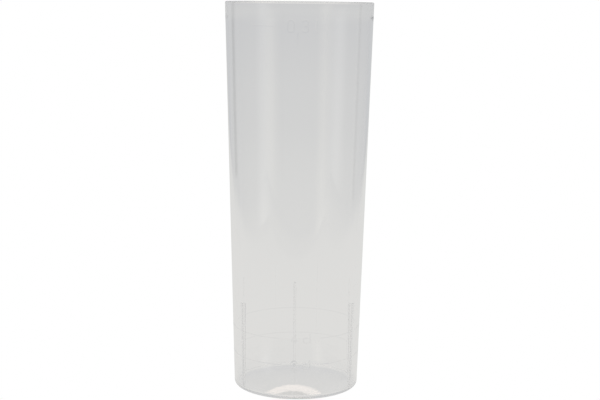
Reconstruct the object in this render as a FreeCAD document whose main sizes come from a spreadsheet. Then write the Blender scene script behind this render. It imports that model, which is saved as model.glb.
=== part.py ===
import FreeCAD, Part
import math
import os

import Sketcher
from FreeCAD import Placement, Rotation, Vector

# A clear stacking tumbler, moulded in one piece, with measure marks raised on its wall.
# Millimetres, +Z up, origin on the axis in the plane that the foot ring stands on. The figures
# are at the front, which faces -Y, and one stacking rib stands at the back, towards +Y.

# ---------------------------------------------------------------- driving dimensions

SIZES = {
    # the tapered wall
    "cup_height": 153.5,
    "rim_radius": 29.1,
    "base_radius": 24.85,
    "wall": 0.95,
    "rim_outer_round": 0.6,
    "rim_inner_round": 0.25,
    "base_corner": 1.2,
    # the domed floor: where it would meet the wall, and its top; below it the domed underside
    "floor_level": 0.7,
    "crown_level": 4.7,
    "floor_corner": 1.2,
    "underside_crown": 3.55,
    "foot_inner_radius": 22.35,
    # the three stacking ribs
    "rib_top": 36.0,
    "rib_width": 1.0,
    "rib_inner_radius": 23.15,
    "rib_reach": 3.0,
    # the raised measure marks
    "mark_proud": 0.1,
    "mark_width": 0.4,
    "ring_gap_angle": 36.0,
    "tick_angle": 17.3,
    "lower_figure_height": 3.8,
    "fill_figure_height": 4.8,
    "stroke": 0.45,
    "stroke_depth": 4.0,
    # how far each mark's middle stands above the level that its volume fills the cup to
    "mark_allowance": 0.4,
}

CUBIC_MM_PER_CL = 10000.0
FRONT = 270.0  # degrees about +Z from +X, as every turn below
LOWER_FIGURES_TURN = FRONT + 2.5
FILL_FIGURES_TURN = FRONT + 0.5
TICK_TURN = FRONT - 29.9
RIB_TURNS = {"back": 90.0, "left": 210.0, "right": 330.0}
MOUTH_OVERRUN = 6.0  # how far the tool that hollows the cup runs past the rim
SAME = 1e-4  # two lengths closer than this are one


def outer_radius(level):
    """Radius of the tapered outer wall at a height above the foot."""
    low, high = SIZES["base_radius"], SIZES["rim_radius"]
    return low + (high - low) * level / SIZES["cup_height"]


def inner_radius(level):
    """Radius of the tapered inner wall at a height above the foot."""
    return outer_radius(level) - SIZES["wall"]


def mark_level(centilitres):
    """Height of a volume's mark above the foot, from a frustum of the inner wall.

    The frustum starts half way up the floor's dome, which takes half of its own height's volume.
    """
    start = (SIZES["floor_level"] + SIZES["crown_level"]) / 2
    slope = (inner_radius(SIZES["cup_height"]) - inner_radius(0)) / SIZES["cup_height"]
    first = inner_radius(start)
    cubed = first**3 + 3 * slope * centilitres * CUBIC_MM_PER_CL / math.pi
    return start + (cubed ** (1 / 3) - first) / slope + SIZES["mark_allowance"]


WORKED_OUT = {
    "floor_radius": inner_radius(SIZES["floor_level"]),
    "mouth_level": SIZES["cup_height"] + MOUTH_OVERRUN,
    "mouth_radius": inner_radius(SIZES["cup_height"] + MOUTH_OVERRUN),
    "level_2cl": mark_level(2),
    "level_4cl": mark_level(4),
    "level_300ml": mark_level(30),
}
VALUES = {**SIZES, **WORKED_OUT}

doc = FreeCAD.newDocument("stacking_tumbler")
sheet = doc.addObject("Spreadsheet::Sheet", "sizes")
for row, (size_name, size_value) in enumerate(VALUES.items(), start=1):
    sheet.set(f"A{row}", size_name)
    sheet.set(f"B{row}", f"{size_value:.5f}")
    sheet.setAlias(f"B{row}", size_name)
doc.recompute()


def bind(target, **expressions):
    """Binds an object's properties to expressions over the sheet's names."""
    for prop, expression in expressions.items():
        target.setExpression(prop, expression)
    return target


# ---------------------------------------------------------------- turned solids


def turned_sketch(body, name, corners, domed):
    """A half section in the XZ plane, closed along the axis.

    corners are (radius, height) pairs of sheet names, or 0 for the axis or the foot plane. The
    first side is an arc centred on the axis where domed is true, and every other side is straight.
    """
    sketch = body.newObject("Sketcher::SketchObject", name)
    plane = next(f for f in body.Origin.OriginFeatures if f.Role == "XZ_Plane")
    sketch.AttachmentSupport = [(plane, "")]
    sketch.MapMode = "FlatFace"
    points = [Vector(VALUES.get(x, 0.0), VALUES.get(z, 0.0), 0) for x, z in corners]
    count = len(points)
    for side in range(count):
        start, end = points[side], points[(side + 1) % count]
        if side == 0 and domed:
            rise = start.y - end.y
            radius = (end.x**2 + rise**2) / (2 * rise)
            centre = Vector(0, start.y - radius, 0)
            circle = Part.Circle(centre, Vector(0, 0, 1), radius)
            upright = math.pi / 2
            outermost = upright - math.asin(end.x / radius)
            sketch.addGeometry(Part.ArcOfCircle(circle, outermost, upright))
        else:
            sketch.addGeometry(Part.LineSegment(start, end))

    def ends(side):
        """The sketch's numbers for the first and last point of a side; an arc runs backwards."""
        return (2, 1) if side == 0 and domed else (1, 2)

    for side in range(count):
        following = (side + 1) % count
        sketch.addConstraint(
            Sketcher.Constraint("Coincident", side, ends(side)[1], following, ends(following)[0])
        )
    if domed:
        sketch.addConstraint(Sketcher.Constraint("PointOnObject", 0, 3, -2))
    for side, (x, z) in enumerate(corners):
        point = ends(side)[0]
        for kind, axis, alias in (("DistanceX", -2, x), ("DistanceY", -1, z)):
            if alias:
                index = sketch.addConstraint(
                    Sketcher.Constraint(kind, -1, 1, side, point, VALUES[alias])
                )
                sketch.setExpression(f"Constraints[{index}]", f"sizes.{alias}")
            else:
                sketch.addConstraint(Sketcher.Constraint("PointOnObject", side, point, axis))
    return sketch


def turned(body, kind, name, sketch):
    """A full turn of a sketch about the axis: kind is Revolution to add, Groove to take away."""
    feature = body.newObject(f"PartDesign::{kind}", name)
    feature.Profile = sketch
    feature.ReferenceAxis = (sketch, ["V_Axis"])
    feature.Angle = 360.0
    doc.recompute()
    return feature


def rounded(body, name, base, rings, radius):
    """Rounds the circular edges of a feature that lie at the given (radius, height) pairs."""
    found = []
    for number, edge in enumerate(base.Shape.Edges, start=1):
        if edge.Degenerated or not isinstance(edge.Curve, Part.Circle):
            continue
        ring = (edge.Curve.Radius, edge.Curve.Center.z)
        if any(math.dist(ring, wanted) < SAME for wanted in rings):
            found.append(f"Edge{number}")
    if len(found) != len(rings):
        raise ValueError(f"{name}: {len(found)} of {len(rings)} edges found")
    fillet = body.newObject("PartDesign::Fillet", name)
    fillet.Base = (base, found)
    fillet.Radius = VALUES[radius]
    bind(fillet, Radius=f"sizes.{radius}")
    body.Tip = fillet
    doc.recompute()
    return fillet


OUTER_SECTION = [
    (0, "underside_crown"),
    ("foot_inner_radius", 0),
    ("base_radius", 0),
    ("rim_radius", "cup_height"),
    (0, "cup_height"),
]
CAVITY_SECTION = [
    (0, "crown_level"),
    ("floor_radius", "floor_level"),
    ("mouth_radius", "mouth_level"),
    (0, "mouth_level"),
]


def make_cavity():
    """The drinking space, with its rounded floor corner: the tool that the ribs are trimmed to."""
    body = doc.addObject("PartDesign::Body", "cavity")
    sketch = turned_sketch(body, "cavity_section", CAVITY_SECTION, domed=True)
    solid = turned(body, "Revolution", "cavity_turned", sketch)
    floor_edge = (VALUES["floor_radius"], VALUES["floor_level"])
    rounded(body, "cavity_floor_corner", solid, [floor_edge], "floor_corner")
    return body


def make_cup_shell():
    """The wall, rim, floor and foot: the outer form, hollowed by the drinking space."""
    body = doc.addObject("PartDesign::Body", "cup_shell")
    outer_sketch = turned_sketch(body, "outer_section", OUTER_SECTION, domed=True)
    outer = turned(body, "Revolution", "outer_turned", outer_sketch)
    inner_sketch = turned_sketch(body, "inner_section", CAVITY_SECTION, domed=True)
    hollow = turned(body, "Groove", "hollowed", inner_sketch)
    if hollow.Shape.Volume > outer.Shape.Volume / 2:
        raise ValueError("the cup was not hollowed")
    floor_edge = (VALUES["floor_radius"], VALUES["floor_level"])
    floor = rounded(body, "floor_corner_round", hollow, [floor_edge], "floor_corner")
    corner = rounded(body, "base_corner_round", floor, [(VALUES["base_radius"], 0)], "base_corner")
    height = VALUES["cup_height"]
    lip = rounded(body, "lip_round", corner, [(outer_radius(height), height)], "rim_outer_round")
    rounded(body, "mouth_round", lip, [(inner_radius(height), height)], "rim_inner_round")
    return body


# ---------------------------------------------------------------- booleans


def boolean(kind, name, base, tool):
    """A Part::Cut or Part::Common of two objects."""
    feature = doc.addObject(f"Part::{kind}", name)
    feature.Base = base
    feature.Tool = tool
    return feature


def make_rib(side, turn, cavity):
    """An upright rib whose inner edge is parallel to the axis, so the tapered wall runs out of it."""
    blade = doc.addObject("Part::Box", f"rib_blade_{side}")
    bind(blade, Length="sizes.rib_reach", Width="sizes.rib_width", Height="sizes.rib_top")
    turned_by = Rotation(Vector(0, 0, 1), turn)
    corner = Vector(VALUES["rib_inner_radius"], -VALUES["rib_width"] / 2, 0)
    blade.Placement = Placement(turned_by.multVec(corner), turned_by)
    return boolean("Common", f"stacking_rib_{side}", blade, cavity)


# ---------------------------------------------------------------- measure marks


def make_raised_skin():
    """The thin conical layer, outside the wall, that every mark is cut from."""
    cones = []
    for name, growth in (("skin_outside", " + sizes.mark_proud"), ("skin_inside", "")):
        cone = doc.addObject("Part::Cone", name)
        bind(
            cone,
            Radius1=f"sizes.base_radius{growth}",
            Radius2=f"sizes.rim_radius{growth}",
            Height="sizes.cup_height",
        )
        cones.append(cone)
    return boolean("Cut", "raised_skin", *cones)


def make_line(name, skin, level, angle, middle_turn):
    """A raised line round part of the wall at a level, centred on a turn."""
    slab = doc.addObject("Part::Cylinder", f"{name}_slab")
    bind(
        slab,
        Radius="sizes.rim_radius + sizes.stroke_depth",
        Height="sizes.mark_width",
        Angle=angle,
    )
    doc.recompute()
    low = VALUES[level] - VALUES["mark_width"] / 2
    start = middle_turn - float(slab.Angle) / 2
    slab.Placement = Placement(Vector(0, 0, low), Rotation(Vector(0, 0, 1), start))
    return boolean("Common", name, skin, slab)


# ---------------------------------------------------------------- raised figures

# A glyph is drawn on its strokes' centre lines, one unit high: its width, then its strokes.
# A bar is (u, v, length, angle) from one end, and a bow is (u, v, radius, start, sweep).
GLYPHS = {
    "0": (0.56, [("bow", 0.28, 0.72, 0.28, 0, 180), ("bow", 0.28, 0.28, 0.28, 180, 180),
                 ("bar", 0, 0.28, 0.44, 90), ("bar", 0.56, 0.28, 0.44, 90)]),
    "2": (0.56, [("bow", 0.28, 0.72, 0.28, -30, 200), ("bar", 0, 0, 0.78, 48),
                 ("bar", 0, 0, 0.56, 0)]),
    "3": (0.54, [("bow", 0.27, 0.735, 0.265, -90, 240), ("bow", 0.27, 0.265, 0.265, -150, 240)]),
    "4": (0.62, [("bar", 0.46, 0, 1.0, 90), ("bar", 0, 0.27, 0.62, 0),
                 ("bar", 0, 0.27, 0.86, 58)]),
    "c": (0.50, [("bow", 0.30, 0.31, 0.31, 50, 260)]),
    "l": (0.0, [("bar", 0, 0, 1.0, 90)]),
    ",": (0.06, [("bar", 0.06, 0.06, 0.2, -105)]),
    " ": (0.12, []),
}
GLYPH_GAP = 0.3


def make_bar(name, unit, length):
    """A straight stroke lying along +X from the origin, squared off half a stroke past its ends."""
    bar = doc.addObject("Part::Box", name)
    bind(
        bar,
        Length=f"{unit} * {length} + sizes.stroke",
        Width="sizes.stroke",
        Height="sizes.stroke_depth",
    )
    return bar


def make_bow(name, unit, radius, sweep):
    """A stroke bent round the origin, from +X through the sweep."""
    rounds = []
    for part, sign in (("outside", "+"), ("inside", "-")):
        drum = doc.addObject("Part::Cylinder", f"{name}_{part}")
        bind(drum, Radius=f"{unit} * {radius} {sign} sizes.stroke / 2", Height="sizes.stroke_depth")
        drum.Angle = sweep
        rounds.append(drum)
    return boolean("Cut", name, *rounds), rounds


def make_figures(name, skin, text, height, level, turn):
    """Raised figures, centred at a level and a turn, whose strokes stand out along one direction."""
    unit = f"(sizes.{height} - sizes.stroke)"
    scale = VALUES[height] - VALUES["stroke"]
    half_stroke = VALUES["stroke"] / 2
    width = sum(GLYPHS[glyph][0] for glyph in text) + GLYPH_GAP * (len(text) - 1)
    facing = Rotation(Vector(0, 0, 1), turn - FRONT) * Rotation(Vector(1, 0, 0), 90)
    inset = outer_radius(VALUES[level]) - VALUES["stroke_depth"] / 2
    middle = Placement(Vector(0, 0, VALUES[level]) + facing.multVec(Vector(0, 0, inset)), facing)
    strokes = []
    cursor = -width / 2
    for place, glyph in enumerate(text):
        glyph_width, drawing = GLYPHS[glyph]
        for number, (kind, u, v, size, *angles) in enumerate(drawing):
            stroke_name = f"{name}_{place}_{number}"
            at = Vector((cursor + u) * scale, (v - 0.5) * scale, 0)
            leaning = Rotation(Vector(0, 0, 1), angles[0])
            if kind == "bar":
                stroke = make_bar(stroke_name, unit, size)
                at = at + leaning.multVec(Vector(-half_stroke, -half_stroke, 0))
                stroke.Placement = middle * Placement(at, leaning)
            else:
                stroke, drums = make_bow(stroke_name, unit, size, angles[1])
                for drum in drums:
                    drum.Placement = middle * Placement(at, leaning)
            strokes.append(stroke)
        cursor += glyph_width + GLYPH_GAP
    drawn = doc.addObject("Part::MultiFuse", f"{name}_strokes")
    drawn.Shapes = strokes
    return boolean("Common", name, skin, drawn)


# ---------------------------------------------------------------- the model

cavity = make_cavity()
cup_shell = make_cup_shell()
raised_skin = make_raised_skin()
ring_angle = "360 - sizes.ring_gap_angle"
rings_middle = LOWER_FIGURES_TURN + 180
lower, upper = "lower_figure_height", "fill_figure_height"
subparts = [cup_shell]
subparts += [make_rib(side, turn, cavity) for side, turn in RIB_TURNS.items()]
subparts += [
    make_line("mark_ring_2cl", raised_skin, "level_2cl", ring_angle, rings_middle),
    make_line("mark_ring_4cl", raised_skin, "level_4cl", ring_angle, rings_middle),
    make_line("fill_line", raised_skin, "level_300ml", "sizes.tick_angle", TICK_TURN),
    make_figures("figures_2cl", raised_skin, "2 cl", lower, "level_2cl", LOWER_FIGURES_TURN),
    make_figures("figures_4cl", raised_skin, "4 cl", lower, "level_4cl", LOWER_FIGURES_TURN),
    make_figures("figures_300ml", raised_skin, "0,3 l", upper, "level_300ml", FILL_FIGURES_TURN),
]
doc.recompute()

for item in doc.Objects:
    if {"Invalid", "Error"} & set(item.State):
        raise ValueError(f"{item.Name} failed: {item.State}")
for subpart in subparts:
    if subpart.Shape.isNull() or not subpart.Shape.isValid() or not subpart.Shape.Solids:
        raise ValueError(f"{subpart.Name} has no valid solid")

os.makedirs("parts", exist_ok=True)
for subpart in subparts:
    subpart.Label = subpart.Name
    subpart.Shape.exportStep(f"parts/{subpart.Label}.step")
    box = subpart.Shape.BoundBox
    print(
        f"{subpart.Label}: {len(subpart.Shape.Solids)} solids, {subpart.Shape.Volume:.2f} mm3, "
        f"z {box.ZMin:.2f} to {box.ZMax:.2f}"
    )
print({name: round(value, 3) for name, value in WORKED_OUT.items()})
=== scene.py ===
import math

import bpy
import numpy as np
from mathutils import Euler, Matrix, Vector


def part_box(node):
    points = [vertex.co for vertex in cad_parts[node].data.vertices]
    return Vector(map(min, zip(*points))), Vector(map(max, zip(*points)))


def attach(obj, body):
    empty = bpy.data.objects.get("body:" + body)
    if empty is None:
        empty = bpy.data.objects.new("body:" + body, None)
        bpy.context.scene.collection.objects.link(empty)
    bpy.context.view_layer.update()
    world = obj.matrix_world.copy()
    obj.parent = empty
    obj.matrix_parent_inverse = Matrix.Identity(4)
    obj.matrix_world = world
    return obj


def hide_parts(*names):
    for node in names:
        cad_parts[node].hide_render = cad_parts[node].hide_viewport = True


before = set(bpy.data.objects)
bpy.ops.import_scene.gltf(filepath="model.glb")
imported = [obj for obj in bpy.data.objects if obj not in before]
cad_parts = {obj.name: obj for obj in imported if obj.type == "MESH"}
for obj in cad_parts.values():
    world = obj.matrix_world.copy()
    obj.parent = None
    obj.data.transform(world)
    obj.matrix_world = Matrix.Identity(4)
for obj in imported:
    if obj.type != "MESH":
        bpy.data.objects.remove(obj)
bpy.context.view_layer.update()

# A clear stacking tumbler on a white table. Metres, +Z up, the figures face -Y.
# The real cup is one moulding, and light only bends rightly through one unbroken skin, so the
# CAD nodes, which are that moulding's features, are shown as one closed mesh.

MM = 0.001


def middle(node, axis):
    """The middle of a CAD node's box along one axis."""
    low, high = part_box(node)
    return (low[axis] + high[axis]) / 2


# ---------------------------------------------------------------- the cup's sizes

# The heights and the ribs' sizes come from the frame. The other sizes repeat the CAD part's own.

CUP_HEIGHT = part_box("cup_shell")[1].z
RIM_RADIUS = 29.1 * MM
BASE_RADIUS = 24.85 * MM
WALL = 0.95 * MM
LIP_ROUND = 0.6 * MM
MOUTH_ROUND = 0.25 * MM
BASE_CORNER = 1.2 * MM
FLOOR_LEVEL = 0.7 * MM
CROWN_LEVEL = 4.7 * MM
FLOOR_CORNER = 1.2 * MM
UNDERSIDE_CROWN = 3.55 * MM
FOOT_INNER_RADIUS = 22.35 * MM
FOOT_EDGE_ROUND = 0.1 * MM

rib_low, rib_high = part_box("stacking_rib_back")
RIB_TOP = rib_high.z
RIB_INNER_RADIUS = rib_low.y
RIB_HALF_WIDTH = rib_high.x
RIB_TURNS = [math.radians(turn) for turn in (90, 210, 330)]
# Half the width of a rib's slopes, and the radius at which widths on the ribs are measured.
RIB_EDGE = 0.20 * MM
RIB_MEAN_RADIUS = 24.2 * MM

# Moulded marks this fine have round shoulders, so they are lower and softer than in the CAD.
MARK_PROUD = 0.05 * MM
MARK_HALF_WIDTH = 0.12 * MM
MARK_EDGE = 0.16 * MM
FRONT = math.radians(270)
LOWER_FIGURES_TURN = FRONT + math.radians(2.5)
FILL_FIGURES_TURN = FRONT + math.radians(0.5)
TICK_TURN = FRONT - math.radians(29.9)
TICK_HALF_ANGLE = math.radians(17.3) / 2
RING_GAP_HALF_ANGLE = math.radians(36.0) / 2
RING_LEVELS = [middle("mark_ring_2cl", 2), middle("mark_ring_4cl", 2)]
FILL_LEVEL = middle("fill_line", 2)
LOWER_FIGURE_HEIGHT = 3.8 * MM
FILL_FIGURE_HEIGHT = 4.8 * MM
STROKE = 0.45 * MM

# How much painted shade, a greyer base colour, and extra roughness the skin has, from 0 to 1, on
# the ribs' corners, on the low marks and at the fill line.
RIB_SHADE_AND_HAZE = 1.0
LOW_MARK_SHADE_AND_HAZE = 0.55
FILL_MARK_SHADE_AND_HAZE = 0.25

# The mesh's spacing up the plain wall, on the figures, across the foot and round the cup.
ROW_STEP = 8.0 * MM
FIGURE_STEP = 0.13 * MM
FOOT_STEP = MM / 4
COLUMN_STEP = math.radians(2.4)
# Where the fine columns run, and how high the fine rows are that hold the fill line's comma too.
FIGURE_COLUMNS_FROM = FRONT - math.radians(12.0)
FIGURE_COLUMNS_TO = FRONT + math.radians(14.4)
FILL_FIGURE_ROWS = 1.12 * FILL_FIGURE_HEIGHT
# Rows or columns are left out where they come nearer than this share of a fine step.
LEAST_COLUMN_SHARE = 1 / 12
LEAST_ROW_SHARE = 1 / 3
LEAST_RIB_ROW_SHARE = 1 / 4
# How many points each dome, round and slope has.
DOME_POINTS = 24
BASE_CORNER_POINTS = 24
LIP_POINTS = 22
MOUTH_POINTS = 14
FLOOR_CORNER_POINTS = 18
LINE_END_POINTS = 5
RIB_SLOPE_POINTS = 13
RIB_TOP_POINTS = 11
# How far round from the wall the rounds of the rim and the floor start, in degrees, so that
# their first points stand clear of the wall's last rows.
RIM_LEAN = 4
FLOOR_LEAN = 2


def outer_radius(level):
    """The wall's outer radius at a level."""
    return BASE_RADIUS + (RIM_RADIUS - BASE_RADIUS) * level / CUP_HEIGHT


def inner_radius(level):
    """The wall's inner radius at a level."""
    return outer_radius(level) - WALL


# ---------------------------------------------------------------- figures as strokes

# A glyph is drawn on its strokes' centre lines, one unit high: its width, then its strokes.
# A bar is (u, v, length, angle) from one end, and a bow is (u, v, radius, start, sweep).
GLYPHS = {
    "0": (0.56, [("bow", 0.28, 0.72, 0.28, 0, 180), ("bow", 0.28, 0.28, 0.28, 180, 180),
                 ("bar", 0, 0.28, 0.44, 90), ("bar", 0.56, 0.28, 0.44, 90)]),
    "2": (0.56, [("bow", 0.28, 0.72, 0.28, -30, 200), ("bar", 0, 0, 0.78, 48),
                 ("bar", 0, 0, 0.56, 0)]),
    "3": (0.54, [("bow", 0.27, 0.735, 0.265, -90, 240), ("bow", 0.27, 0.265, 0.265, -150, 240)]),
    "4": (0.62, [("bar", 0.46, 0, 1.0, 90), ("bar", 0, 0.27, 0.62, 0),
                 ("bar", 0, 0.27, 0.86, 58)]),
    "c": (0.50, [("bow", 0.30, 0.31, 0.31, 50, 260)]),
    "l": (0.0, [("bar", 0, 0, 1.0, 90)]),
    ",": (0.06, [("bar", 0.06, 0.06, 0.2, -105)]),
    " ": (0.12, []),
}
GLYPH_GAP = 0.3
# Further off than any stroke, in metres.
FAR_OFF = 1.0


def bar_distance(u, v, start, length, angle):
    """Distance of the points (u, v) from a straight centre line."""
    along = (math.cos(angle), math.sin(angle))
    du, dv = u - start[0], v - start[1]
    share = np.clip(du * along[0] + dv * along[1], 0, length)
    return np.hypot(du - share * along[0], dv - share * along[1])


def bow_distance(u, v, centre, radius, start, sweep):
    """Distance of the points (u, v) from an arc's centre line."""
    du, dv = u - centre[0], v - centre[1]
    turn = np.mod(np.arctan2(dv, du) - start, 2 * math.pi)
    beside = np.abs(np.hypot(du, dv) - radius)
    ends = []
    for angle in (start, start + sweep):
        ends.append(np.hypot(du - radius * math.cos(angle), dv - radius * math.sin(angle)))
    return np.where(turn <= sweep, beside, np.minimum(*ends))


def text_distance(u, v, text, height):
    """Distance of the points (u, v) from the nearest stroke of a text centred on the origin."""
    scale = height - STROKE
    width = sum(GLYPHS[glyph][0] for glyph in text) + GLYPH_GAP * (len(text) - 1)
    nearest = np.full(np.shape(u), FAR_OFF)
    cursor = -width / 2
    for glyph in text:
        glyph_width, drawing = GLYPHS[glyph]
        for kind, left, up, size, *angles in drawing:
            place = ((cursor + left) * scale, (up - 0.5) * scale)
            turns = [math.radians(angle) for angle in angles]
            measure = bar_distance if kind == "bar" else bow_distance
            nearest = np.minimum(nearest, measure(u, v, place, size * scale, *turns))
        cursor += glyph_width + GLYPH_GAP
    return nearest


# ---------------------------------------------------------------- the skin's relief


def eased(distance, half_width, edge):
    """One inside half_width, nothing outside it, and a smooth shoulder between."""
    share = np.clip((half_width + edge - distance) / (2 * edge), 0, 1)
    return share * share * (3 - 2 * share)


def turn_from(angles, centre):
    """Signed turn from a centre, between minus and plus half a turn."""
    return np.mod(angles - centre + math.pi, 2 * math.pi) - math.pi


def line_share(turn_past_end, level, line_level):
    """One on a raised line, which ends where the turn past its end is above nothing."""
    past_end = np.maximum(turn_past_end, 0) * outer_radius(level)
    return eased(np.hypot(level - line_level, past_end), MARK_HALF_WIDTH, MARK_EDGE)


def figures_share(turn, level, middle_turn, middle_level, text, height):
    """One on raised figures, and nothing on the far side of the cup."""
    from_middle = turn_from(turn, middle_turn)
    across = outer_radius(level) * np.sin(from_middle)
    distance = text_distance(across, level - middle_level, text, height)
    return eased(distance, STROKE / 2, MARK_EDGE) * (np.abs(from_middle) < math.pi / 2)


def mark_share(angles, levels):
    """One where a raised mark stands, nothing elsewhere, over a grid of turns and levels."""
    turn, level = np.meshgrid(angles, levels)
    past_ring_end = RING_GAP_HALF_ANGLE - np.abs(turn_from(turn, LOWER_FIGURES_TURN))
    past_tick_end = np.abs(turn_from(turn, TICK_TURN)) - TICK_HALF_ANGLE
    shares = [
        line_share(past_tick_end, level, FILL_LEVEL),
        figures_share(turn, level, FILL_FIGURES_TURN, FILL_LEVEL, "0,3 l", FILL_FIGURE_HEIGHT),
    ]
    for ring, text in zip(RING_LEVELS, ("2 cl", "4 cl")):
        shares.append(line_share(past_ring_end, level, ring))
        shares.append(
            figures_share(turn, level, LOWER_FIGURES_TURN, ring, text, LOWER_FIGURE_HEIGHT)
        )
    return np.maximum.reduce(shares)


def rib_corners(share):
    """One at the foot and the top of a rib's slopes, nothing half way up them and on the flats."""
    return np.abs(2 * share - 1) * (share > 0) * (share < 1)


def rib_share(angles, levels):
    """One where a stacking rib stands, nothing elsewhere, over a grid of turns and levels."""
    turn, level = np.meshgrid(angles, levels)
    share = np.zeros_like(turn)
    for centre in RIB_TURNS:
        across = np.abs(turn_from(turn, centre)) * RIB_MEAN_RADIUS
        share = np.maximum(share, eased(across, RIB_HALF_WIDTH - RIB_EDGE, RIB_EDGE))
    return share * eased(level, RIB_TOP - RIB_EDGE, RIB_EDGE)


# ---------------------------------------------------------------- the skin's grid


def spread(low, high, step):
    """Even steps from low to high, both included."""
    return np.linspace(low, high, max(2, round((high - low) / step) + 1))


def merged(values, least):
    """Sorted values with near neighbours left out."""
    kept = []
    for value in sorted(values):
        if not kept or value - kept[-1] > least:
            kept.append(value)
    return np.array(kept)


def column_turns():
    """Turns of the grid's columns: even, with more at the figures, the line ends and the ribs."""
    turns = list(np.arange(0, 2 * math.pi, COLUMN_STEP))
    figure_step = FIGURE_STEP / BASE_RADIUS
    turns += list(spread(FIGURE_COLUMNS_FROM, FIGURE_COLUMNS_TO, figure_step))
    line_end = np.linspace(-2, 2, LINE_END_POINTS) * MARK_EDGE / BASE_RADIUS
    for end in (
        TICK_TURN - TICK_HALF_ANGLE,
        TICK_TURN + TICK_HALF_ANGLE,
        LOWER_FIGURES_TURN - RING_GAP_HALF_ANGLE,
        LOWER_FIGURES_TURN + RING_GAP_HALF_ANGLE,
    ):
        turns += list(end + line_end)
    slope = RIB_HALF_WIDTH + np.linspace(-2, 0, RIB_SLOPE_POINTS) * RIB_EDGE
    beside, on_top = RIB_HALF_WIDTH * 1.3, RIB_HALF_WIDTH * 0.4
    across = np.array([beside, *slope, on_top])
    for centre in RIB_TURNS:
        turns += list(centre + across / RIB_MEAN_RADIUS) + list(centre - across / RIB_MEAN_RADIUS)
    turns = [turn % (2 * math.pi) for turn in turns]
    return merged(turns, figure_step * LEAST_COLUMN_SHARE)


def outer_levels():
    """Heights of the outer wall's rows: even, with more at the rings, tick and figures."""
    levels = list(spread(BASE_CORNER, CUP_HEIGHT - LIP_ROUND, ROW_STEP))
    figure_rows = [(level, LOWER_FIGURE_HEIGHT) for level in RING_LEVELS]
    for level, height in [*figure_rows, (FILL_LEVEL, FILL_FIGURE_ROWS)]:
        reach = height / 2 + 2 * MARK_EDGE
        levels += list(spread(level - reach, level + reach, FIGURE_STEP))
    return merged(levels, FIGURE_STEP * LEAST_ROW_SHARE)


def inner_levels():
    """Heights of the inner wall's rows, rim to floor: even, with more at the rib tops."""
    levels = list(spread(floor_corner_centre()[1], CUP_HEIGHT - MOUTH_ROUND, ROW_STEP))
    levels += list(RIB_TOP + np.linspace(-3, 1, RIB_TOP_POINTS) * RIB_EDGE)
    return merged(levels, RIB_EDGE * LEAST_RIB_ROW_SHARE)[::-1]


def arc(centre, radius, start, end, count):
    """Points (radius, height) along an arc of the half section, its turns in degrees."""
    turns = np.radians(np.linspace(start, end, count))
    return [(centre[0] + radius * math.cos(t), centre[1] + radius * math.sin(t)) for t in turns]


def ball_radius(edge_radius, rise):
    """Radius of the ball whose cap rises this much above a circular edge."""
    return (edge_radius**2 + rise**2) / (2 * rise)


def dome(edge_radius, crown, ball):
    """Points of a shallow dome, from its crown on the axis out to its edge."""
    return [
        (r, crown - ball + math.sqrt(ball**2 - r**2))
        for r in np.linspace(0.0, edge_radius, DOME_POINTS)
    ]


FLOOR_BALL = ball_radius(inner_radius(FLOOR_LEVEL), CROWN_LEVEL - FLOOR_LEVEL)
UNDERSIDE_BALL = ball_radius(FOOT_INNER_RADIUS, UNDERSIDE_CROWN)


def floor_corner_centre():
    """Where the round between wall and floor is centred: it touches the wall and the dome."""
    out = inner_radius(FLOOR_LEVEL + FLOOR_CORNER) - FLOOR_CORNER
    return out, CROWN_LEVEL - FLOOR_BALL + math.sqrt((FLOOR_BALL + FLOOR_CORNER) ** 2 - out**2)


def underside_rows():
    """From the axis out over the domed underside to the foot ring and its corner."""
    edge = FOOT_INNER_RADIUS
    rows = dome(edge - FOOT_EDGE_ROUND, UNDERSIDE_CROWN, UNDERSIDE_BALL)
    flat = spread(edge + FOOT_EDGE_ROUND, BASE_RADIUS - BASE_CORNER, FOOT_STEP)
    rows += [(radius, 0.0) for radius in flat]
    corner = (BASE_RADIUS - BASE_CORNER, BASE_CORNER)
    return rows + arc(corner, BASE_CORNER, -90, 0, BASE_CORNER_POINTS)[1:-1]


def rim_rows():
    """Over the rim, from the outer wall to the inner one."""
    lip = (outer_radius(CUP_HEIGHT) - LIP_ROUND, CUP_HEIGHT - LIP_ROUND)
    mouth = (inner_radius(CUP_HEIGHT) + MOUTH_ROUND, CUP_HEIGHT - MOUTH_ROUND)
    over_lip = arc(lip, LIP_ROUND, RIM_LEAN, 90, LIP_POINTS)
    return over_lip + arc(mouth, MOUTH_ROUND, 90, 180 - RIM_LEAN, MOUTH_POINTS)


def floor_rows():
    """Round the floor's corner and in over its dome to the axis."""
    centre = floor_corner_centre()
    above_ball = centre[1] - (CROWN_LEVEL - FLOOR_BALL)
    touch = math.degrees(math.atan2(above_ball, centre[0])) - 180
    rows = arc(centre, FLOOR_CORNER, -FLOOR_LEAN, touch, FLOOR_CORNER_POINTS)
    return rows + dome(rows[-1][0], CROWN_LEVEL, FLOOR_BALL)[::-1][1:]


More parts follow.
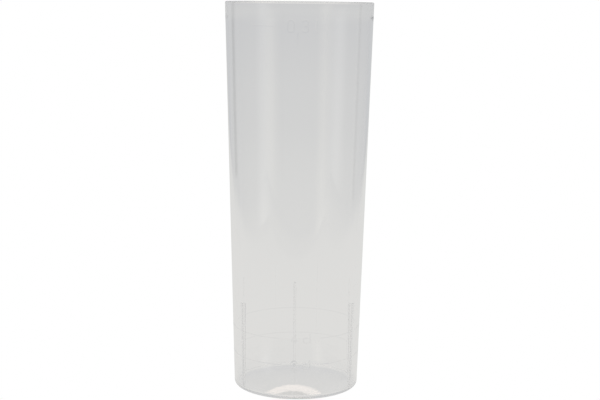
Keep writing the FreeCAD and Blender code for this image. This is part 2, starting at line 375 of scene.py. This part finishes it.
def tumbler_grid():
    """Radius and mask of painted shade and roughness of every grid point as rows by columns, its
    heights and columns' turns.
    """
    turns = column_turns()
    count = len(turns)
    blocks = []

    def plain(rows):
        blocks.append((np.array([[r] * count for r, _ in rows]), np.array([z for _, z in rows])))

    plain(underside_rows())
    levels = outer_levels()
    marks = mark_share(turns, levels)
    # On the marks the mask is painted shade, a greyer base colour, with some roughness, by how far
    # a mark stands.
    mark_shade_and_haze = marks * np.where(levels < CUP_HEIGHT / 2, LOW_MARK_SHADE_AND_HAZE, FILL_MARK_SHADE_AND_HAZE)[:, None]
    marks_from = len(blocks[0][1])
    blocks.append((outer_radius(levels)[:, None] + marks * MARK_PROUD, levels))
    plain(rim_rows())
    levels = inner_levels()
    blocks.append((np.repeat(inner_radius(levels)[:, None], count, axis=1), levels))
    plain(floor_rows())
    inside_from = sum(len(block[1]) for block in blocks[:3])
    radii = np.concatenate([block[0] for block in blocks])
    heights = np.concatenate([block[1] for block in blocks])
    inside = radii[inside_from:]
    share = rib_share(turns, heights[inside_from:])
    depth = np.maximum(inside - RIB_INNER_RADIUS, 0)
    inside -= share * depth
    painted_shade_and_haze = np.zeros_like(radii)
    painted_shade_and_haze[marks_from : marks_from + len(marks)] = mark_shade_and_haze
    # On the ribs' corners the mask is painted shade, a greyer base colour, with some roughness.
    painted_shade_and_haze[inside_from:] = rib_corners(share) * RIB_SHADE_AND_HAZE * (depth > 0)
    return radii, painted_shade_and_haze, heights, turns


def tumbler_mesh(name):
    """The whole skin as one closed mesh: the first and last rows shrink to points on the axis."""
    radii, painted_shade_and_haze, heights, turns = tumbler_grid()
    rows, columns = radii.shape
    x = radii * np.cos(turns)
    y = radii * np.sin(turns)
    z = np.repeat(heights[:, None], columns, axis=1)
    ring_points = np.stack([x, y, z], axis=2)[1:-1].reshape(-1, 3)
    points = np.concatenate([[[0, 0, heights[0]]], ring_points, [[0, 0, heights[-1]]]])
    faces = []
    last = len(points) - 1
    for column in range(columns):
        following = (column + 1) % columns
        faces.append((0, 1 + following, 1 + column))
        top = 1 + (rows - 3) * columns
        faces.append((last, top + column, top + following))
        for row in range(rows - 3):
            low = 1 + row * columns
            high = low + columns
            faces.append((low + column, low + following, high + following, high + column))
    mesh = bpy.data.meshes.new(name)
    mesh.from_pydata(points.tolist(), [], faces)
    mesh.polygons.foreach_set("use_smooth", [True] * len(mesh.polygons))
    mesh.update()
    mesh.validate()
    # The mask of painted shade and roughness on the ribs' corners and the marks, read by the
    # plastic's material.
    layer = mesh.attributes.new("painted_shade_and_haze", "FLOAT", "POINT")
    layer.data.foreach_set("value", np.concatenate([[0], painted_shade_and_haze[1:-1].ravel(), [0]]))
    return mesh


# ---------------------------------------------------------------- materials


def node_material(name):
    """An empty node material: its tree, and its output node."""
    material = bpy.data.materials.new(name)
    material.use_nodes = True
    tree = material.node_tree
    tree.nodes.clear()
    return material, tree, tree.nodes.new("ShaderNodeOutputMaterial")


PLASTIC_INDEX = 1.59
# Painted shade: the grey that the base colour turns on the ribs' corners and the raised marks, for
# the dark lines at their edges.
PAINTED_SHADE_TINT = (0.80, 0.80, 0.81, 1)
HAZE_ROUGHNESS = 0.02
# Handling rubs: their noise's scale and detail, the values between which they rise, and roughness.
RUB_SCALE = 900.0
RUB_DETAIL = 4.0
RUB_NOISE = (0.55, 0.8)
RUB_ROUGHNESS = (0.004, 0.03)
# The mould's waviness: its noise's scale and detail, and how strong and how deep it is.
WAVE_SCALE = 45.0
WAVE_DETAIL = 1.0
WAVE_STRENGTH = 0.25
WAVE_DEPTH = 0.02 * MM


def clear_polystyrene():
    """Clear moulded plastic: a faint waviness left by the mould, fine handling haze and rubs.

    The raised marks and the ribs' corners carry painted shade, a greyer base colour for the dark
    lines at their edges, and are a little rougher.
    """
    material, tree, output = node_material("clear_polystyrene")
    nodes, links = tree.nodes, tree.links
    shader = nodes.new("ShaderNodeBsdfPrincipled")
    shader.inputs["Transmission Weight"].default_value = 1.0
    shader.inputs["IOR"].default_value = PLASTIC_INDEX
    links.new(shader.outputs["BSDF"], output.inputs["Surface"])

    place = nodes.new("ShaderNodeTexCoord")
    painted_shade_and_haze = nodes.new("ShaderNodeAttribute")
    painted_shade_and_haze.attribute_name = "painted_shade_and_haze"

    # Painted shade: the mask turns the base colour grey on the ribs' corners and the raised marks.
    painted_shade_tint = nodes.new("ShaderNodeMix")
    painted_shade_tint.data_type = "RGBA"
    painted_shade_tint.inputs["A"].default_value = (1.0, 1.0, 1.0, 1)
    painted_shade_tint.inputs["B"].default_value = PAINTED_SHADE_TINT
    links.new(painted_shade_and_haze.outputs["Fac"], painted_shade_tint.inputs["Factor"])
    links.new(painted_shade_tint.outputs["Result"], shader.inputs["Base Color"])

    grain = nodes.new("ShaderNodeTexNoise")
    grain.inputs["Scale"].default_value = RUB_SCALE
    grain.inputs["Detail"].default_value = RUB_DETAIL
    links.new(place.outputs["Object"], grain.inputs["Vector"])
    rub = nodes.new("ShaderNodeMapRange")
    rub.inputs["From Min"].default_value, rub.inputs["From Max"].default_value = RUB_NOISE
    rub.inputs["To Min"].default_value, rub.inputs["To Max"].default_value = RUB_ROUGHNESS
    links.new(grain.outputs["Fac"], rub.inputs["Value"])
    roughness = nodes.new("ShaderNodeMath")
    roughness.operation = "MULTIPLY_ADD"
    roughness.inputs[1].default_value = HAZE_ROUGHNESS
    links.new(painted_shade_and_haze.outputs["Fac"], roughness.inputs[0])
    links.new(rub.outputs["Result"], roughness.inputs[2])
    links.new(roughness.outputs["Value"], shader.inputs["Roughness"])

    wave = nodes.new("ShaderNodeTexNoise")
    wave.inputs["Scale"].default_value = WAVE_SCALE
    wave.inputs["Detail"].default_value = WAVE_DETAIL
    links.new(place.outputs["Object"], wave.inputs["Vector"])
    bump = nodes.new("ShaderNodeBump")
    bump.inputs["Strength"].default_value = WAVE_STRENGTH
    bump.inputs["Distance"].default_value = WAVE_DEPTH
    links.new(wave.outputs["Fac"], bump.inputs["Height"])
    links.new(bump.outputs["Normal"], shader.inputs["Normal"])
    return material


# ---------------------------------------------------------------- the cup

cup = bpy.data.objects.new("tumbler_moulding", tumbler_mesh("tumbler_moulding"))
bpy.context.scene.collection.objects.link(cup)
cup.data.materials.append(clear_polystyrene())
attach(cup, "root")
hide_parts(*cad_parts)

# ---------------------------------------------------------------- paper sweep, room and lights

SWEEP_FRONT = -0.30
SWEEP_BACK = 1.2
SWEEP_HALF_WIDTH = 0.40
SWEEP_BEND = 0.3
SWEEP_BEND_POINTS = 13
SWEEP_TOP = 1.7
# The sheet lies this far under the foot, so that the two never share a face.
SWEEP_DROP = 0.02 * MM
# The sheet's glow as the cup sees it, painted light for the lamps' light on the paper, darker
# further back and up it, and how its edges fade.
PAPER_STOPS = [
    (-0.35, (0.70, 0.695, 0.68)),
    (0.1, (0.73, 0.725, 0.71)),
    (0.5, (0.70, 0.70, 0.69)),
    (1.1, (0.65, 0.652, 0.65)),
    (1.45, (0.56, 0.566, 0.584)),
    (2.5, (0.43, 0.433, 0.437)),
]
SIDE_FADE = 0.12
FRONT_FADE = 0.05
ROOM_TONE = (0.53, 0.535, 0.545)
# The room's tones as the cup sees them, from behind the camera (-1) to behind the sheet (1).
ROOM_STOPS = [
    (-1.0, (0.55, 0.553, 0.557)),
    (-0.5, (0.54, 0.543, 0.547)),
    (0.0, (0.53, 0.533, 0.54)),
    (0.5, (0.52, 0.525, 0.535)),
    (1.0, (0.60, 0.608, 0.62)),
]
DISH_SIDES = 64
DISH_PLATE_RADIANCE = 0.2
WHITE = (1.0, 1.0, 1.0)


def sweep_mesh(name):
    """A sheet of white paper that lies on the table and curves up behind the cup."""
    outline = [(SWEEP_FRONT, 0.0), (SWEEP_BACK - SWEEP_BEND, 0.0)]
    for turn in np.radians(np.linspace(0, 90, SWEEP_BEND_POINTS))[1:]:
        y = SWEEP_BACK - SWEEP_BEND + SWEEP_BEND * math.sin(turn)
        outline.append((y, SWEEP_BEND * (1 - math.cos(turn))))
    outline.append((SWEEP_BACK, SWEEP_TOP))
    points = [(x, y, z) for y, z in outline for x in (-SWEEP_HALF_WIDTH, SWEEP_HALF_WIDTH)]
    faces = [(2 * i, 2 * i + 1, 2 * i + 3, 2 * i + 2) for i in range(len(outline) - 1)]
    mesh = bpy.data.meshes.new(name)
    mesh.from_pydata(points, [], faces)
    mesh.polygons.foreach_set("use_smooth", [True] * len(faces))
    return mesh


def ramp_node(tree, value, stops):
    """Colours along a value, from rising stops of a value and its colour."""
    low, high = stops[0][0], stops[-1][0]
    remap = tree.nodes.new("ShaderNodeMapRange")
    remap.inputs["From Min"].default_value = low
    remap.inputs["From Max"].default_value = high
    tree.links.new(value, remap.inputs["Value"])
    ramp = tree.nodes.new("ShaderNodeValToRGB")
    tree.links.new(remap.outputs["Result"], ramp.inputs["Fac"])
    elements = ramp.color_ramp.elements
    elements[0].color = (*stops[0][1], 1)
    elements[-1].color = (*stops[-1][1], 1)
    for at, color in stops[1:-1]:
        elements.new((at - low) / (high - low)).color = (*color, 1)
    return ramp.outputs["Color"]


def smooth_share(tree, value, nothing_at, all_at):
    """A smooth rise from nothing to one as a value goes from one number to another."""
    share = tree.nodes.new("ShaderNodeMapRange")
    share.interpolation_type = "SMOOTHSTEP"
    share.inputs["From Min"].default_value = nothing_at
    share.inputs["From Max"].default_value = all_at
    tree.links.new(value, share.inputs["Value"])
    return share.outputs["Result"]


def paper_white():
    """The paper, blown out to pure white for the camera, and for the cup a graded glow of painted
    light, standing in for the lamps' light on it.
    """
    material, tree, output = node_material("paper_white")
    nodes, links = tree.nodes, tree.links
    place = nodes.new("ShaderNodeNewGeometry")
    split = nodes.new("ShaderNodeSeparateXYZ")
    links.new(place.outputs["Position"], split.inputs["Vector"])
    along = nodes.new("ShaderNodeMath")
    along.operation = "ADD"
    links.new(split.outputs["Y"], along.inputs[0])
    links.new(split.outputs["Z"], along.inputs[1])
    aside = nodes.new("ShaderNodeMath")
    aside.operation = "ABSOLUTE"
    links.new(split.outputs["X"], aside.inputs[0])
    fade_from = SWEEP_HALF_WIDTH - SIDE_FADE
    off_side = smooth_share(tree, aside.outputs["Value"], fade_from, SWEEP_HALF_WIDTH)
    off_front = smooth_share(tree, split.outputs["Y"], SWEEP_FRONT + FRONT_FADE, SWEEP_FRONT)
    faded = nodes.new("ShaderNodeMath")
    faded.operation = "MAXIMUM"
    links.new(off_side, faded.inputs[0])
    links.new(off_front, faded.inputs[1])
    graded = nodes.new("ShaderNodeMix")
    graded.data_type = "RGBA"
    graded.inputs["B"].default_value = (*ROOM_TONE, 1)
    links.new(faded.outputs["Value"], graded.inputs["Factor"])
    links.new(ramp_node(tree, along.outputs["Value"], PAPER_STOPS), graded.inputs["A"])
    # The paper's glow is painted light: its tones stand in for the lamps' light on it.
    glow = nodes.new("ShaderNodeEmission")
    links.new(graded.outputs["Result"], glow.inputs["Color"])
    seen = nodes.new("ShaderNodeEmission")
    seen.inputs["Color"].default_value = (*WHITE, 1)
    path = nodes.new("ShaderNodeLightPath")
    mix = nodes.new("ShaderNodeMixShader")
    links.new(path.outputs["Is Camera Ray"], mix.inputs["Fac"])
    links.new(glow.outputs["Emission"], mix.inputs[1])
    links.new(seen.outputs["Emission"], mix.inputs[2])
    links.new(mix.outputs["Shader"], output.inputs["Surface"])
    return material


def make_room():
    """The room round the table: white for the camera, a soft grey for the cup."""
    world = bpy.data.worlds.new("room")
    bpy.context.scene.world = world
    world.use_nodes = True
    tree = world.node_tree
    tree.nodes.clear()
    nodes, links = tree.nodes, tree.links
    output = nodes.new("ShaderNodeOutputWorld")
    seen = nodes.new("ShaderNodeBackground")
    seen.inputs["Color"].default_value = (*WHITE, 1)
    around = nodes.new("ShaderNodeBackground")
    place = nodes.new("ShaderNodeTexCoord")
    split = nodes.new("ShaderNodeSeparateXYZ")
    links.new(place.outputs["Generated"], split.inputs["Vector"])
    links.new(ramp_node(tree, split.outputs["Y"], ROOM_STOPS), around.inputs["Color"])
    path = nodes.new("ShaderNodeLightPath")
    mix = nodes.new("ShaderNodeMixShader")
    links.new(path.outputs["Is Camera Ray"], mix.inputs["Fac"])
    links.new(around.outputs["Background"], mix.inputs[1])
    links.new(seen.outputs["Background"], mix.inputs[2])
    links.new(mix.outputs["Shader"], output.inputs["Surface"])


def panel(name, turn, distance, width, low, high, radiance, color, full_from):
    """An upright panel that faces the axis, at a turn from the front towards +X, in degrees.

    It glows most along its middle and fades to its sides, and it fades from the height full_from
    down to its bottom. A panel dimmer than the room is a dark card.
    """
    left, right = -width / 2, width / 2
    corners = [(left, 0, low), (right, 0, low), (right, 0, high), (left, 0, high)]
    mesh = bpy.data.meshes.new(name)
    mesh.from_pydata(corners, [], [(0, 1, 2, 3)])
    material, tree, output = node_material(name)
    nodes, links = tree.nodes, tree.links
    place = nodes.new("ShaderNodeTexCoord")
    split = nodes.new("ShaderNodeSeparateXYZ")
    links.new(place.outputs["Object"], split.inputs["Vector"])
    aside = nodes.new("ShaderNodeMath")
    aside.operation = "ABSOLUTE"
    links.new(split.outputs["X"], aside.inputs[0])
    across = smooth_share(tree, aside.outputs["Value"], right, 0.0)
    upward = smooth_share(tree, split.outputs["Z"], low, full_from)
    share = nodes.new("ShaderNodeMath")
    share.operation = "MULTIPLY"
    links.new(across, share.inputs[0])
    links.new(upward, share.inputs[1])
    glow = nodes.new("ShaderNodeEmission")
    glow.inputs["Color"].default_value = (*color, 1)
    glow.inputs["Strength"].default_value = radiance
    clear = nodes.new("ShaderNodeBsdfTransparent")
    mix = nodes.new("ShaderNodeMixShader")
    links.new(share.outputs["Value"], mix.inputs["Fac"])
    links.new(clear.outputs["BSDF"], mix.inputs[1])
    links.new(glow.outputs["Emission"], mix.inputs[2])
    links.new(mix.outputs["Shader"], output.inputs["Surface"])
    mesh.materials.append(material)
    light = bpy.data.objects.new(name, mesh)
    bpy.context.scene.collection.objects.link(light)
    angle = math.radians(turn)
    light.location = (distance * math.sin(angle), -distance * math.cos(angle), 0)
    light.rotation_euler = (0, 0, angle)
    light.visible_camera = False


def beauty_dish(height_angle, turn, distance, reach, plate_reach, radiance, color):
    """A round light behind and above the cup, with a dim plate in its middle.

    All its angles are in degrees and are seen from the middle of the cup's foot: its height above
    the table, its turn from straight behind, and how far it and its plate reach from its middle.
    """
    up, turn = math.radians(height_angle), math.radians(turn)
    radii = [distance * math.tan(math.radians(angle)) for angle in (plate_reach, reach)]
    turns = np.linspace(0, 2 * math.pi, DISH_SIDES, endpoint=False)
    points = [(r * math.cos(t), r * math.sin(t), 0) for r in radii for t in turns]
    faces = [tuple(range(DISH_SIDES))]
    for side in range(DISH_SIDES):
        following = (side + 1) % DISH_SIDES
        faces.append((side, following, DISH_SIDES + following, DISH_SIDES + side))
    mesh = bpy.data.meshes.new("beauty_dish")
    mesh.from_pydata(points, [], faces)
    for name, strength in (("dish_plate", DISH_PLATE_RADIANCE), ("dish_glow", radiance)):
        material, tree, output = node_material(name)
        glow = tree.nodes.new("ShaderNodeEmission")
        glow.inputs["Color"].default_value = (*color, 1)
        glow.inputs["Strength"].default_value = strength
        tree.links.new(glow.outputs["Emission"], output.inputs["Surface"])
        mesh.materials.append(material)
    mesh.polygons.foreach_set("material_index", [0] + [1] * DISH_SIDES)
    lamp = bpy.data.objects.new("beauty_dish", mesh)
    bpy.context.scene.collection.objects.link(lamp)
    across = distance * math.cos(up)
    lamp.location = (across * math.sin(turn), across * math.cos(turn), distance * math.sin(up))
    lamp.rotation_euler = Vector(lamp.location).to_track_quat("Z", "Y").to_euler()
    lamp.visible_camera = False


paper = bpy.data.objects.new("paper_sweep", sweep_mesh("paper_sweep"))
paper.location.z = -SWEEP_DROP
bpy.context.scene.collection.objects.link(paper)
paper.data.materials.append(paper_white())
make_room()
panel(
    "softbox_left", turn=-46.5, distance=1.2, width=0.74, low=-0.24, high=0.5,
    radiance=0.98, color=(1.0, 0.98, 0.92), full_from=-0.08,
)
panel(
    "softbox_right", turn=63, distance=1.2, width=0.86, low=-0.24, high=0.5,
    radiance=0.93, color=WHITE, full_from=-0.08,
)
panel(
    "dark_card_left", turn=-126, distance=0.5, width=0.11, low=0.0, high=0.6,
    radiance=0.18, color=WHITE, full_from=0.01,
)
beauty_dish(
    height_angle=56.5, turn=-0.9, distance=1.0, reach=15.6, plate_reach=8.9,
    radiance=1.65, color=(1.0, 0.87, 0.79),
)

# ---------------------------------------------------------------- camera

CAMERA_DISTANCE = 505.4 * MM
CAMERA_HEIGHT = 157.6 * MM
CAMERA_ROUND = math.radians(-1.6)
CAMERA_DOWN = math.radians(9.27)
CAMERA_ASIDE = math.radians(-0.11)
CAMERA_ROLL = math.radians(0.62)
SENSOR_WIDTH = 36.0
LENS = 76.82
CLIP_START = 0.01
# Light is guided a long way inside the wall: fewer bounces leave the foot and the rim black.
BOUNCES = 1024

camera = bpy.data.objects.new("camera", bpy.data.cameras.new("camera"))
bpy.context.scene.collection.objects.link(camera)
camera.data.sensor_width = SENSOR_WIDTH
camera.data.lens = LENS
camera.data.clip_start = CLIP_START
stand = Matrix.Translation((0, -CAMERA_DISTANCE, CAMERA_HEIGHT))
stand = Matrix.Rotation(CAMERA_ROUND, 4, "Z") @ stand
aim = Euler((math.pi / 2 - CAMERA_DOWN, 0, CAMERA_ASIDE)).to_matrix().to_4x4()
camera.matrix_world = stand @ aim @ Matrix.Rotation(CAMERA_ROLL, 4, "Z")
bpy.context.scene.camera = camera

scene = bpy.context.scene
scene.view_settings.view_transform = "Standard"
scene.cycles.max_bounces = BOUNCES
scene.cycles.transmission_bounces = BOUNCES
scene.cycles.glossy_bounces = BOUNCES
